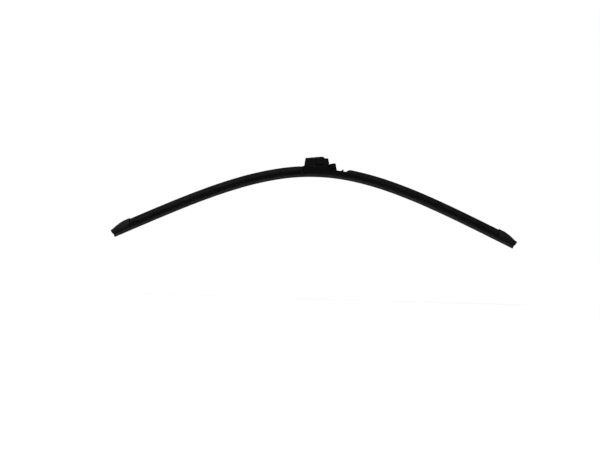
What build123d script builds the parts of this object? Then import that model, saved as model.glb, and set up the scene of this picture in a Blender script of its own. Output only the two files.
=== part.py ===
from build123d import *
import os
from math import asin, atan2, copysign, cos, degrees, hypot, radians, sin

# Flat windscreen wiper blade with its arm adapter, in millimetres.
# Origin: on the adapter's deck, where the arm seats, straight above the pivot.
# +X runs along the blade, +Z away from the glass, and +Y is the windward side.
# Runs are measured along the wiping lip from the middle of the blade.
# Heights named "..._height" are measured from the wiping lip at the middle of the blade.

# Bow of the free blade
tip_slope = 24.95
bow_reach = 312.0
arc_count = 5
arc_run = 52.4

# Length of the rubber each way, and what the other strips stop short of it
rubber_run = 301.0
rail_setback = 3.5
spoiler_setback = 22.0

# Clearances
butt_gap = 0.1
seat_fit = 0.05
slip_fit = 0.12
swing_gap = 0.35
running_fit = 0.05
cut_margin = 1.0

# Wiping rubber section
lip_width = 0.7
lip_root_width = 1.6
lip_height = 3.0
shoulder_width = 5.2
shoulder_base_height = 3.5
shoulder_height = 4.4
web_width = 0.9
flange_width = 6.4
flange_base_height = 6.0
flange_thickness = 0.85
core_width = 2.6
head_width = 6.0
head_thickness = 1.2

# Flexor rails
rail_width = 4.25
rail_thickness = 0.9

# Spoiler section
claw_wall = 1.0
claw_foot = 0.8
claw_overlap = 1.4
spoiler_wall = 1.15
flank_foot = 0.15
ridge_height = 15.5
ridge_lean = 3.4
ridge_width = 1.5
ridge_chamfer = 0.4
wind_hollow = 1.15
slant_reach = 5.2
slant_bulge = 0.55

# End caps
cap_wall = 1.2
cap_lap = 8.8
cap_end_wall = 1.4
cap_base_lap = 0.45
cap_brow_rise = 1.6
cap_crown_drop = 1.2
cap_crown_setback = 17.3
cap_nose_drop = 5.0
cap_nose_setback = 4.2
cap_lip_drop = 5.4
cap_lip_setback = 1.2
cap_lip_chamfer = 1.1
cap_end_lean = 0.7
cap_rim_setback = 5.4
cap_rim_rise = 2.8
cap_corner_radius = 2.6

# Rail bridge, folded from sheet steel
bridge_left_setback = 0.6
bridge_right_setback = 3.5
bridge_sheet = 1.0
bridge_window_run = 8.0
bridge_window_height = 1.7
ear_thickness = 1.2
ear_radius = 2.7
ear_foot = 9.0

# Pivot
pivot_rise = 2.41
rivet_radius = 1.6
rivet_head_radius = 2.2
rivet_head_height = 0.75
rivet_head_chamfer = 0.35

# Connector cover
cheek_wall = 1.5
cheek_rise = 2.8
cheek_setback = 0.3
cheek_slope = 1.2
shoulder_setback = 2.8
shoulder_drop = 0.6
cover_end_wall = 1.1
spigot_length = 4.0
cover_skirt_wall = 0.85
well_gap = 1.9
low_deck_run = 11.5
low_deck_wall = 1.39
trough_wall = 1.9
trough_drop = 0.9
trough_gap = 1.0
trough_end_lean = 1.0
tooth_setback = 3.3
tooth_ramp = 5.4
tooth_width = 1.2
tooth_height = 3.0
tooth_hollow = 0.7
panel_depth = 1.2
panel_length = 5.8
panel_height = 2.4
panel_margin = 3.6
panel_rim = 0.7
cover_rounding = 0.6

# Arm adapter
adapter_width = 13.2
adapter_left = 17.0
adapter_left_lean = 1.8
adapter_right = 18.9
adapter_right_lean = 1.7
adapter_right_drop = 7.5
adapter_base_rise = 0.9
adapter_base_setback = 6.9
adapter_heel_setback = 3.3
adapter_heel_rise = 2.6
adapter_chamfer = 0.45
adapter_wall = 1.6
deck_left_rounding = 2.3
deck_right_rounding = 1.4
lug_width = 9.8
lug_length = 6.8
lug_drop = 1.5
clip_roof = 1.75
clip_mouth = 2.7
clip_flare = 3.6
tail_width = 8.4
tail_length = 10.1
tail_top_drop = 6.9
tail_crown_run = 5.1
tail_dip = 0.8
tail_lap = 0.15
tail_end_lean = 0.7
tail_wall = 1.4
tail_rounding = 1.5

# Lock button
button_left = 9.0
button_right = 12.0
button_crest_setback = 4.0
button_crest_rise = 2.3
button_heel_rise = 0.5
button_end_rise = 0.3
button_plate = 1.7
button_width = 9.2
button_chamfer = 0.6
button_gap = 0.4
button_end_gap = 0.6
hinge_setback = 1.7
hinge_depth = 2.6
hinge_boss_radius = 1.7
trunnion_radius = 1.0
trunnion_length = 1.1
skirt_left = 0.4
skirt_setback = 0.4
skirt_depth = 7.9
skirt_wall = 1.5
skirt_slant = 1.2
skirt_front_gap = 1.4
skirt_drop_gap = 3.1
skirt_rear_gap = 0.35
shoulder_below_deck = 0.25
spring_room = 3.3
press_drop = 3.3
inner_wall_drop = 1.6
rib_depth = 2.0
push_depth = 1.2
push_rib_length = 1.2
push_rib_width = 2.4
toe_length = 1.2
toe_height = 1.2
toe_gap = 0.3

# Lock spring, a hairpin leaf
leaf_width = 5.0
leaf_thickness = 0.45
leaf_bend_radius = 1.4
leaf_foot = 11.0
leaf_bend = -6.0
leaf_arm_length = 14.0

# Runs and places that follow from the sizes
rail_run = rubber_run - rail_setback
spoiler_outer_run = rubber_run - spoiler_setback
cap_inner_run = spoiler_outer_run - cap_lap
cap_length = rubber_run + cap_end_wall - cap_inner_run
well_left = adapter_left + well_gap
cover_left_run = well_left + cover_end_wall
cheek_end = adapter_right - cheek_setback
tail_end = adapter_right + tail_length
trough_end = tail_end + trough_gap
cover_right_run = trough_end + low_deck_run
tooth_run = cover_right_run - tooth_setback
bridge_left_run = cover_left_run - bridge_left_setback
bridge_right_run = trough_end - bridge_right_setback
hinge_x = -button_left + hinge_setback
skirt_right = button_right - skirt_setback
pocket_left = -button_left - button_gap
pocket_right = button_right + button_end_gap
boss_room_end = hinge_x + hinge_boss_radius + button_gap

# Section of the strips: heights, and distances from the middle plane
rail_base_height = flange_base_height + flange_thickness + seat_fit
rail_top_height = rail_base_height + rail_thickness
head_base_height = rail_top_height + seat_fit
head_top_height = head_base_height + head_thickness
head_room_height = head_top_height + 2 * slip_fit
flank_base_height = head_room_height + flank_foot
claw_base_height = rail_base_height - seat_fit - claw_foot
cap_base_height = claw_base_height - cap_base_lap
cap_brow_height = ridge_height + cap_brow_rise
rail_inner = core_width / 2 + seat_fit
rail_outer = rail_inner + rail_width
claw_outer = rail_outer + seat_fit + claw_wall
head_room = head_width / 2 + 2 * slip_fit

# Stack of the connector, from the bridge up to the deck
bridge_top_height = head_room_height + bridge_sheet
pivot_height = bridge_top_height + pivot_rise
pocket_floor_height = pivot_height + rivet_radius + running_fit + clip_roof
deck_height = pocket_floor_height + skirt_depth + skirt_drop_gap
low_deck_height = bridge_top_height + slip_fit + low_deck_wall
cheek_height = pivot_height + cheek_rise
trough_height = cheek_height - trough_drop
lug_base_height = pivot_height - lug_drop
adapter_base_height = pivot_height + adapter_base_rise
adapter_right_height = deck_height - adapter_right_drop
tail_base_height = trough_height - tail_lap
tail_top_height = deck_height - tail_top_drop
plate_base_height = deck_height - button_plate
plate_floor_height = plate_base_height - press_drop
inner_wall_height = plate_base_height - inner_wall_drop
rib_base_height = plate_base_height - rib_depth
push_height = plate_base_height - push_depth
hinge_height = deck_height - hinge_depth
boss_floor_height = hinge_height - hinge_boss_radius - button_gap

# Widths of the connector, from the middle plane
bridge_outer = rail_outer + seat_fit + bridge_sheet
ear_outer = bridge_outer - slip_fit
head_seat = ear_outer + seat_fit
head_end = head_seat + rivet_head_height
skirt_inner = bridge_outer + slip_fit
skirt_outer = skirt_inner + cover_skirt_wall
cheek_inner = adapter_width / 2 + swing_gap
cheek_outer = cheek_inner + cheek_wall
trough_inner = tail_width / 2 + swing_gap
trough_outer = trough_inner + trough_wall
pocket_half = button_width / 2 + button_gap

knot_slopes = [
    radians(tip_slope) * (1 - (1 - k * arc_run / bow_reach) ** 3) for k in range(arc_count + 1)
]

# Side view of the connector: X along the blade, Y the height above the lip
side_view = Plane((0, 0, -deck_height), x_dir=(1, 0, 0), z_dir=(0, -1, 0))


def bow_station(run):
    """Lip point (x, height) and downward slope at a run along the lip."""
    side = copysign(1, run)
    left = abs(run)
    x = 0
    height = 0
    slope = 0
    for k in range(arc_count):
        step = min(left, arc_run)
        radius = arc_run / (knot_slopes[k + 1] - knot_slopes[k])
        turned = slope + step / radius
        x += radius * (sin(turned) - sin(slope))
        height += radius * (cos(turned) - cos(slope))
        slope = turned
        left -= step
    x += left * cos(slope)
    height -= left * sin(slope)
    return side * x, height, side * slope


def bow_point(run, above):
    """Point (x, height) that stands a given distance above the lip, square to the bow."""
    x, height, slope = bow_station(run)
    return x + above * sin(slope), height + above * cos(slope)


def bow_edges(run_from, run_to, above=0):
    """Tangent arcs and straight end runs of the bow, drawn into the line being built."""
    knots = [k * arc_run for k in range(-arc_count, arc_count + 1)]
    stops = [run_from] + [knot for knot in knots if run_from < knot < run_to] + [run_to]
    for start, end in zip(stops, stops[1:]):
        middle = (start + end) / 2
        if abs(middle) > arc_count * arc_run:
            Line(bow_point(start, above), bow_point(end, above))
        else:
            ThreePointArc(bow_point(start, above), bow_point(middle, above), bow_point(end, above))


def bow_path(run_from, run_to):
    """Path along the wiping lip between two runs."""
    with BuildLine(side_view) as path:
        bow_edges(run_from, run_to)
    return path.wire()


def section_plane(run):
    """Plane square to the bow: X to the windward side, Y the height above the lip."""
    x, height, slope = bow_station(run)
    return Plane((x, 0, height - deck_height), x_dir=(0, 1, 0), z_dir=(cos(slope), 0, -sin(slope)))


def flank_outline(base_height):
    """Outer outline of the spoiler from a base line up over both flanks, as a face."""
    ridge_lee = -ridge_lean - ridge_width / 2
    ridge_wind = -ridge_lean + ridge_width / 2
    with BuildLine() as outline:
        lee_side = Polyline(
            (-claw_outer, base_height),
            (-claw_outer, flank_base_height),
            (ridge_lee, ridge_height),
            (ridge_wind, ridge_height),
        )
        wind_flank = SagittaArc(lee_side @ 1, (claw_outer, flank_base_height), -wind_hollow)
        Polyline(wind_flank @ 1, (claw_outer, base_height), lee_side @ 0)
    make_face(outline.edges())


def spoiler_section(run):
    """Spoiler section: two flanks over a hollow chamber, and claws round the rails."""
    with BuildSketch(section_plane(run)) as chamber:
        flank_outline(head_room_height)
        offset(amount=-spoiler_wall, mode=Mode.REPLACE)
    with BuildSketch(section_plane(run)) as section:
        flank_outline(claw_base_height)
        ridge_corners = section.vertices().group_by(Axis.Y)[-1]
        chamfer(ridge_corners, length=ridge_chamfer)
        add(chamber.sketch_local, mode=Mode.SUBTRACT)
        rail_room = rail_thickness + 2 * seat_fit
        with Locations((0, rail_base_height - seat_fit)):
            Rectangle(
                2 * (rail_outer + seat_fit),
                rail_room,
                align=(Align.CENTER, Align.MIN),
                mode=Mode.SUBTRACT,
            )
        with Locations((0, claw_base_height)):
            Rectangle(
                2 * (rail_outer - claw_overlap),
                claw_foot,
                align=(Align.CENTER, Align.MIN),
                mode=Mode.SUBTRACT,
            )
        with Locations((0, rail_base_height)):
            Rectangle(
                2 * head_room,
                head_room_height - rail_base_height,
                align=(Align.CENTER, Align.MIN),
                mode=Mode.SUBTRACT,
            )
    return section.sketch


os.makedirs("parts", exist_ok=True)

# Wiping rubber: lip, shoulders, thin tilting web, and a head with a groove each side
with BuildPart() as wiping_rubber:
    with BuildSketch(section_plane(-rubber_run)):
        with BuildLine():
            Polyline(
                (0, 0),
                (lip_width / 2, 0),
                (lip_root_width / 2, lip_height),
                (shoulder_width / 2, shoulder_base_height),
                (shoulder_width / 2, shoulder_height),
                (web_width / 2, shoulder_height),
                (web_width / 2, flange_base_height),
                (flange_width / 2, flange_base_height),
                (flange_width / 2, rail_base_height - seat_fit),
                (core_width / 2, rail_base_height - seat_fit),
                (core_width / 2, head_base_height),
                (head_width / 2, head_base_height),
                (head_width / 2, head_top_height),
                (0, head_top_height),
            )
            mirror(about=Plane.YZ)
        make_face()
    sweep(path=bow_path(-rubber_run, rubber_run))
wiping_rubber.part.label = "wiping_rubber"
export_step(wiping_rubber.part, "parts/wiping_rubber.step")

# Flexor rails: two spring-steel strips in the rubber's grooves
for rail_name, rail_side in (("flexor_rail_front", -1), ("flexor_rail_rear", 1)):
    with BuildPart() as flexor_rail:
        with BuildSketch(section_plane(-rail_run)):
            rail_middle = (rail_inner + rail_outer) / 2
            with Locations((rail_side * rail_middle, rail_base_height + rail_thickness / 2)):
                Rectangle(rail_width, rail_thickness)
        sweep(path=bow_path(-rail_run, rail_run))
    flexor_rail.part.label = rail_name
    export_step(flexor_rail.part, f"parts/{rail_name}.step")

# Left spoiler half: square ends, the outer one inside the end cap
with BuildPart() as spoiler_left:
    spoiler_left_run = -cover_left_run - butt_gap
    sweep(spoiler_section(-spoiler_outer_run), path=bow_path(-spoiler_outer_run, spoiler_left_run))
spoiler_left.part.label = "spoiler_left"
export_step(spoiler_left.part, "parts/spoiler_left.step")

# Right spoiler half: its inner end is cut back in a curve above the connector's low deck
with BuildPart() as spoiler_right:
    spoiler_right_run = cover_right_run + butt_gap
    sweep(spoiler_section(spoiler_right_run), path=bow_path(spoiler_right_run, spoiler_outer_run))
    with BuildSketch(side_view):
        slant_foot = bow_point(spoiler_right_run, low_deck_height)
        slant_top = bow_point(spoiler_right_run + slant_reach, ridge_height)
        with BuildLine():
            slant = SagittaArc(slant_foot, slant_top, slant_bulge)
            Polyline(
                slant @ 1,
                bow_point(spoiler_right_run + slant_reach, ridge_height + cut_margin),
                bow_point(spoiler_right_run - cut_margin, ridge_height + cut_margin),
                bow_point(spoiler_right_run - cut_margin, low_deck_height),
                slant @ 0,
            )
        make_face()
    extrude(amount=claw_outer + cut_margin, both=True, mode=Mode.SUBTRACT)
spoiler_right.part.label = "spoiler_right"
export_step(spoiler_right.part, "parts/spoiler_right.step")

# Right end cap: a sleeve over the spoiler's end that drops to a lipped nose
cap_plane = section_plane(cap_inner_run)
cap_side_view = Plane(cap_plane.origin, x_dir=cap_plane.z_dir, z_dir=(0, -1, 0))
cap_plan_view = Plane(cap_plane.origin, x_dir=cap_plane.z_dir, z_dir=cap_plane.y_dir)
with BuildPart() as end_cap_right:
    with BuildSketch(cap_plane):
        flank_outline(claw_base_height)
        offset(amount=cap_wall, kind=Kind.ARC, mode=Mode.REPLACE)
    extrude(amount=cap_length)
    with BuildSketch(cap_side_view):
        with BuildLine():
            crown = ThreePointArc(
                (0, cap_brow_height),
                (cap_length - cap_crown_setback, cap_brow_height - cap_crown_drop),
                (cap_length - cap_nose_setback, cap_brow_height - cap_nose_drop),
            )
            Polyline(
                crown @ 1,
                (cap_length - cap_lip_setback, cap_brow_height - cap_lip_drop),
                (cap_length, cap_brow_height - cap_lip_drop - cap_lip_chamfer),
                (cap_length - cap_end_lean, cap_base_height),
                (cap_rim_setback, cap_base_height),
                (cap_rim_setback, cap_base_height + cap_rim_rise),
                crown @ 0,
            )
        make_face()
    extrude(amount=2 * claw_outer, both=True, mode=Mode.INTERSECT)
    with BuildSketch(cap_plan_view) as cap_plan:
        Rectangle(cap_length, 2 * (claw_outer + cap_wall), align=(Align.MIN, Align.CENTER))
        fillet(cap_plan.vertices().group_by(Axis.X)[-1], radius=cap_corner_radius)
    extrude(amount=2 * cap_brow_height, both=True, mode=Mode.INTERSECT)
    with BuildSketch(cap_plane):
        flank_outline(claw_base_height)
        offset(amount=slip_fit, kind=Kind.INTERSECTION, mode=Mode.REPLACE)
    extrude(amount=spoiler_outer_run - cap_inner_run + butt_gap, mode=Mode.SUBTRACT)
    with BuildSketch(cap_plane):
        with Locations((0, (rail_base_height + rail_top_height) / 2)):
            Rectangle(2 * (rail_outer + slip_fit), rail_thickness + 2 * slip_fit)
    extrude(amount=rail_run - cap_inner_run + butt_gap, mode=Mode.SUBTRACT)
    with BuildSketch(cap_plane):
        with Locations((0, head_room_height)):
            Rectangle(2 * head_room, head_room_height, align=(Align.CENTER, Align.MAX))
    extrude(amount=rubber_run - cap_inner_run + butt_gap, mode=Mode.SUBTRACT)
end_cap_right.part.label = "end_cap_right"
export_step(end_cap_right.part, "parts/end_cap_right.step")

# Left end cap: the mirror image of the right one
with BuildPart() as end_cap_left:
    mirror(end_cap_right.part, about=Plane.YZ)
end_cap_left.part.label = "end_cap_left"
export_step(end_cap_left.part, "parts/end_cap_left.step")

# Rail bridge: a hat section that grips both rails, with two ears for the rivet
with BuildPart() as rail_bridge:
    with BuildSketch(section_plane(-bridge_left_run)):
        shoulder_top = rail_top_height + seat_fit + bridge_sheet
        with BuildLine():
            Polyline(
                (0, bridge_top_height),
                (head_room + bridge_sheet, bridge_top_height),
                (head_room + bridge_sheet, shoulder_top),
                (bridge_outer, shoulder_top),
                (bridge_outer, claw_base_height),
                (rail_outer - claw_overlap, claw_base_height),
                (rail_outer - claw_overlap, rail_base_height - seat_fit),
                (rail_outer + seat_fit, rail_base_height - seat_fit),
                (rail_outer + seat_fit, rail_top_height + seat_fit),
                (head_room, rail_top_height + seat_fit),
                (head_room, head_room_height),
                (0, head_room_height),
            )
            mirror(about=Plane.YZ)
        make_face()
    sweep(path=bow_path(-bridge_left_run, bridge_right_run))
    with BuildSketch(side_view):
        with Locations((0, claw_base_height + bridge_window_height)):
            Rectangle(2 * bridge_window_run, claw_base_height, align=(Align.CENTER, Align.MAX))
    extrude(amount=bridge_outer + cut_margin, both=True, mode=Mode.SUBTRACT)
    for plane in (side_view.offset(ear_outer - ear_thickness), side_view.offset(-ear_outer)):
        with BuildSketch(plane):
            with BuildLine():
                Polyline(
                    (-ear_radius, pivot_height),
                    (-ear_foot / 2, shoulder_top - bridge_sheet / 2),
                    (ear_foot / 2, shoulder_top - bridge_sheet / 2),
                    (ear_radius, pivot_height),
                )
                ThreePointArc(
                    (ear_radius, pivot_height), (0, pivot_height + ear_radius), (-ear_radius, pivot_height)
                )
            make_face()
            with Locations((0, pivot_height)):
                Circle(rivet_radius + seat_fit / 2, mode=Mode.SUBTRACT)
        extrude(amount=ear_thickness)
rail_bridge.part.label = "rail_bridge"
export_step(rail_bridge.part, "parts/rail_bridge.step")

# Pivot rivet: a plain shank with a flat head outside each ear
pivot_axis = Axis((0, 0, pivot_height - deck_height), (0, 1, 0))
with BuildPart() as pivot_rivet:
    with BuildSketch(Plane(pivot_axis.position)):
        with BuildLine():
            half = Polyline(
                (0, head_end),
                (rivet_head_radius - rivet_head_chamfer, head_end),
                (rivet_head_radius, head_end - rivet_head_chamfer),
                (rivet_head_radius, head_seat),
                (rivet_radius, head_seat),
            )
            mirror(half, about=Plane.XZ)
            Line((rivet_radius, head_seat), (rivet_radius, -head_seat))
            Line((0, head_end), (0, -head_end))
        make_face()
    revolve(axis=pivot_axis)
pivot_rivet.part.label = "pivot_rivet"
export_step(pivot_rivet.part, "parts/pivot_rivet.step")

# Connector cover: cheeks beside the adapter, a trough for its tail, a low deck,
# and a spigot at each end that plugs into the spoiler's chamber
with BuildPart() as connector_cover:
    with BuildSketch(side_view):
        with BuildLine():
            bow_edges(-cover_left_run, cover_right_run, claw_base_height)
            bow_edges(-cover_left_run, cover_right_run, low_deck_height)
            for end_run in (-cover_left_run, cover_right_run):
                Line(bow_point(end_run, claw_base_height), bow_point(end_run, low_deck_height))
        make_face()
    extrude(amount=skirt_outer, both=True)
    with BuildSketch(side_view):
        with BuildLine():
            cheek_run = cheek_end + cheek_wall
            bow_edges(-cover_left_run, cheek_run, claw_base_height)
            Polyline(
                bow_point(cheek_run, claw_base_height),
                bow_point(cheek_run, trough_height),
                (cheek_end - cheek_slope, cheek_height),
                (-cover_left_run + shoulder_setback, cheek_height),
                bow_point(-cover_left_run, ridge_height - shoulder_drop),
                bow_point(-cover_left_run, claw_base_height),
            )
        make_face()
    extrude(amount=cheek_outer, both=True)
    cheek_tops = connector_cover.edges().filter_by(Axis.X).group_by(Axis.Z)[-1]
    left_corners = connector_cover.faces().sort_by(Axis.X)[0].edges().sort_by(Axis.Z)[1:]
    fillet(cheek_tops + left_corners, radius=cover_rounding)
    with BuildSketch(side_view):
        with BuildLine():
            Polyline(
                (cheek_end, head_room_height),
                (trough_end, head_room_height),
                (trough_end, low_deck_height - trough_end_lean),
                (trough_end - trough_end_lean, trough_height),
                (cheek_end, trough_height),
                close=True,
            )
        make_face()
    extrude(amount=trough_outer, both=True)
    with BuildSketch(side_view):
        with BuildLine():
            tooth_side = SagittaArc(
                bow_point(tooth_run - tooth_ramp, low_deck_height),
                bow_point(tooth_run - tooth_width, low_deck_height + tooth_height),
                -tooth_hollow,
            )
            Polyline(
                tooth_side @ 1,
                bow_point(tooth_run - tooth_width / 2, low_deck_height + tooth_height),
                bow_point(tooth_run, low_deck_height - low_deck_wall),
                bow_point(tooth_run - tooth_ramp, low_deck_height - low_deck_wall),
                tooth_side @ 0,
            )
        make_face()
    extrude(amount=trough_outer, both=True)
    panel_planes = (
        side_view.offset(trough_outer - panel_depth),
        side_view.offset(-trough_outer),
    )
    for plane in panel_planes:
        with BuildSketch(plane):
            with Locations((trough_end - panel_margin, trough_height - panel_rim)):
                Rectangle(panel_length, panel_height, align=(Align.MAX, Align.MAX))
        extrude(amount=panel_depth, mode=Mode.SUBTRACT)
    with BuildSketch(side_view):
        with BuildLine():
            bridge_room_run = bridge_right_run + butt_gap
            bow_edges(-cover_left_run, bridge_room_run, bridge_top_height + slip_fit)
            Polyline(
                bow_point(bridge_room_run, bridge_top_height + slip_fit),
                bow_point(bridge_room_run, 0),
                bow_point(-cover_left_run, 0),
                bow_point(-cover_left_run, bridge_top_height + slip_fit),
            )
        make_face()
    extrude(amount=skirt_inner, both=True, mode=Mode.SUBTRACT)
    with BuildSketch(side_view):
        with BuildLine():
            bow_edges(0, cover_right_run, head_room_height)
            Polyline(
                bow_point(cover_right_run, head_room_height),
                bow_point(cover_right_run, 0),
                bow_point(0, 0),
                bow_point(0, head_room_height),
            )
        make_face()
    extrude(amount=rail_outer + slip_fit, both=True, mode=Mode.SUBTRACT)
    with BuildSketch(side_view):
        with Locations(((cheek_end - well_left) / 2, cheek_height)):
            Rectangle(
                well_left + cheek_end,
                cheek_height - bridge_top_height,
                align=(Align.CENTER, Align.MAX),
            )
    extrude(amount=cheek_inner, both=True, mode=Mode.SUBTRACT)
    with BuildSketch(side_view):
        with Locations((trough_end + butt_gap, cheek_height)):
            Rectangle(
                trough_end + butt_gap,
                cheek_height - bridge_top_height + low_deck_wall,
                align=(Align.MAX, Align.MAX),
            )
    extrude(amount=trough_inner, both=True, mode=Mode.SUBTRACT)
    with BuildSketch(side_view):
        head_slot = rivet_head_radius + slip_fit
        with Locations((0, pivot_height)):
            Circle(head_slot)
            Rectangle(2 * head_slot, pivot_height, align=(Align.CENTER, Align.MAX))
    extrude(amount=head_end + slip_fit, both=True, mode=Mode.SUBTRACT)
    with BuildSketch(section_plane(-cover_left_run)):
        flank_outline(head_room_height)
        offset(amount=-spoiler_wall - slip_fit, mode=Mode.REPLACE)
    extrude(amount=-spigot_length)
    with BuildSketch(section_plane(cover_right_run)):
        flank_outline(head_room_height)
        offset(amount=-spoiler_wall - slip_fit, mode=Mode.REPLACE)
        with Locations((0, low_deck_height)):
            Rectangle(
                2 * claw_outer, ridge_height, align=(Align.CENTER, Align.MIN), mode=Mode.SUBTRACT
            )
    extrude(amount=spigot_length)
connector_cover.part.label = "connector_cover"
export_step(connector_cover.part, "parts/connector_cover.step")

# Adapter body: block that the arm's channel slides over, with a clip for the rivet
with BuildPart() as adapter_body:
    with BuildSketch(side_view) as block:
        with BuildLine():
            Polyline(
                (-adapter_left, adapter_base_height),
                (-adapter_left + adapter_left_lean, deck_height),
                (adapter_right - adapter_right_lean, deck_height),
                (adapter_right, adapter_right_height),
                (adapter_right - adapter_heel_setback, adapter_base_height + adapter_heel_rise),
                (adapter_right - adapter_base_setback, adapter_base_height),
                close=True,
            )
        make_face()
        deck_corners = block.vertices().group_by(Axis.Y)[-1].sort_by(Axis.X)
        fillet(deck_corners[0], radius=deck_left_rounding)
        fillet(deck_corners[1], radius=deck_right_rounding)
    extrude(amount=adapter_width / 2, both=True)
    block_sides = adapter_body.faces().filter_by(Axis.Y)
    chamfer(block_sides.edges(), length=adapter_chamfer)
    with BuildSketch(side_view) as tail:
        with BuildLine():
            Polyline(
                (adapter_right - adapter_base_setback, tail_base_height),
                (tail_end, tail_base_height),
                (tail_end - tail_end_lean, tail_top_height),
                (adapter_right + tail_crown_run, tail_top_height),
                (adapter_right, adapter_right_height - tail_dip),
                (adapter_right - adapter_base_setback, adapter_right_height - tail_dip),
                close=True,
            )
        make_face()
        fillet(tail.vertices().sort_by(Axis.Y)[-2:].sort_by(Axis.X)[-1:], radius=tail_rounding)
    extrude(amount=tail_width / 2, both=True)
    with BuildSketch(side_view):
        with Locations((0, lug_base_height)):
            Rectangle(
                lug_length, pocket_floor_height - lug_base_height, align=(Align.CENTER, Align.MIN)
            )
    extrude(amount=lug_width / 2, both=True)
    with BuildSketch(side_view):
        with Locations((0, pivot_height)):
            Circle(rivet_radius + running_fit)
        with BuildLine():
            Polyline(
                (-clip_mouth / 2, pivot_height),
                (clip_mouth / 2, pivot_height),
                (clip_flare / 2, lug_base_height),
                (-clip_flare / 2, lug_base_height),
                close=True,
            )
        make_face()
    extrude(amount=adapter_width, both=True, mode=Mode.SUBTRACT)
    ear_room = (adapter_width - lug_width) / 2
    for plane in (side_view.offset(lug_width / 2), side_view.offset(-adapter_width / 2)):
        with BuildSketch(plane):
            with Locations((0, pivot_height)):
                Circle(ear_radius + swing_gap)
        extrude(amount=ear_room, mode=Mode.SUBTRACT)
    with BuildSketch(side_view):
        with BuildLine():
            Polyline(
                (pocket_left, boss_floor_height),
                (boss_room_end, boss_floor_height),
                (boss_room_end, inner_wall_height),
                (skirt_left, inner_wall_height),
                (skirt_left, plate_floor_height),
                (pocket_right, plate_floor_height),
                (pocket_right, deck_height + cut_margin),
                (pocket_left, deck_height + cut_margin),
                close=True,
            )
        make_face()
    extrude(amount=pocket_half, both=True, mode=Mode.SUBTRACT)
    with BuildSketch(side_view):
        with Locations((pocket_left, pocket_floor_height)):
            Rectangle(pocket_right - pocket_left, deck_height, align=(Align.MIN, Align.MIN))
    extrude(amount=spring_room, both=True, mode=Mode.SUBTRACT)
    with BuildSketch(side_view):
        with Locations((pocket_right - cut_margin, pocket_floor_height)):
            Rectangle(
                button_right + toe_length + button_gap - pocket_right + cut_margin,
                plate_floor_height + toe_height + toe_gap - pocket_floor_height,
                align=(Align.MIN, Align.MIN),
            )
    extrude(amount=push_rib_width / 2 + button_gap, both=True, mode=Mode.SUBTRACT)
    recess_depth = skirt_wall + button_gap
    recess_planes = (
        side_view.offset(adapter_width / 2 - recess_depth),
        side_view.offset(-adapter_width / 2),
    )
    for plane in recess_planes:
        with BuildSketch(plane):
            with Locations((skirt_left - skirt_front_gap, pocket_floor_height)):
                Rectangle(
                    skirt_right - skirt_left + skirt_front_gap + skirt_rear_gap,
                    deck_height,
                    align=(Align.MIN, Align.MIN),
                )
        extrude(amount=recess_depth, mode=Mode.SUBTRACT)
    with BuildSketch(side_view):
        with BuildLine():
            core_right = -button_left - button_gap - adapter_wall
            Polyline(
                (-adapter_left + adapter_wall, adapter_base_height),
                (-adapter_left + adapter_left_lean + adapter_wall, deck_height - adapter_wall),
                (core_right, deck_height - adapter_wall),
                (core_right, adapter_base_height),
                close=True,
            )
        make_face()
    extrude(amount=adapter_width / 2 - adapter_wall, both=True, mode=Mode.SUBTRACT)
    with BuildSketch(side_view):
        with Locations((adapter_right + tail_wall, tail_base_height)):
            Rectangle(
                tail_end - tail_end_lean - adapter_right - 2 * tail_wall,
                adapter_right_height - tail_dip - tail_wall - tail_base_height,
                align=(Align.MIN, Align.MIN),
            )
    extrude(amount=tail_width / 2 - tail_wall, both=True, mode=Mode.SUBTRACT)
    with BuildSketch(side_view):
        with Locations((hinge_x, hinge_height)):
            Circle(trunnion_radius + running_fit)
    extrude(amount=pocket_half + trunnion_length + slip_fit, both=True, mode=Mode.SUBTRACT)
adapter_body.part.label = "adapter_body"
export_step(adapter_body.part, "parts/adapter_body.step")

# Lock spring: a hairpin leaf that stands on the pocket's floor
leaf_foot_height = pocket_floor_height + seat_fit + leaf_thickness / 2
leaf_tip_height = push_height - seat_fit - leaf_thickness / 2
leaf_climb = leaf_tip_height - leaf_foot_height - leaf_bend_radius
leaf_rise = degrees(
    asin(leaf_climb / hypot(leaf_bend_radius, leaf_arm_length))
    - atan2(leaf_bend_radius, leaf_arm_length)
)
with BuildPart() as lock_spring:
    with BuildSketch(side_view):
        with BuildLine():
            foot = Line((leaf_bend + leaf_foot, leaf_foot_height), (leaf_bend, leaf_foot_height))
            bend = JernArc(foot @ 1, foot % 1, leaf_bend_radius, leaf_rise - 180)
            leaf_arm = PolarLine(bend @ 1, leaf_arm_length, leaf_rise)
        trace(line_width=leaf_thickness)
    extrude(amount=leaf_width / 2, both=True)
leaf_tip = leaf_arm @ 1
lock_spring.part.label = "lock_spring"
export_step(lock_spring.part, "parts/lock_spring.step")

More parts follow.
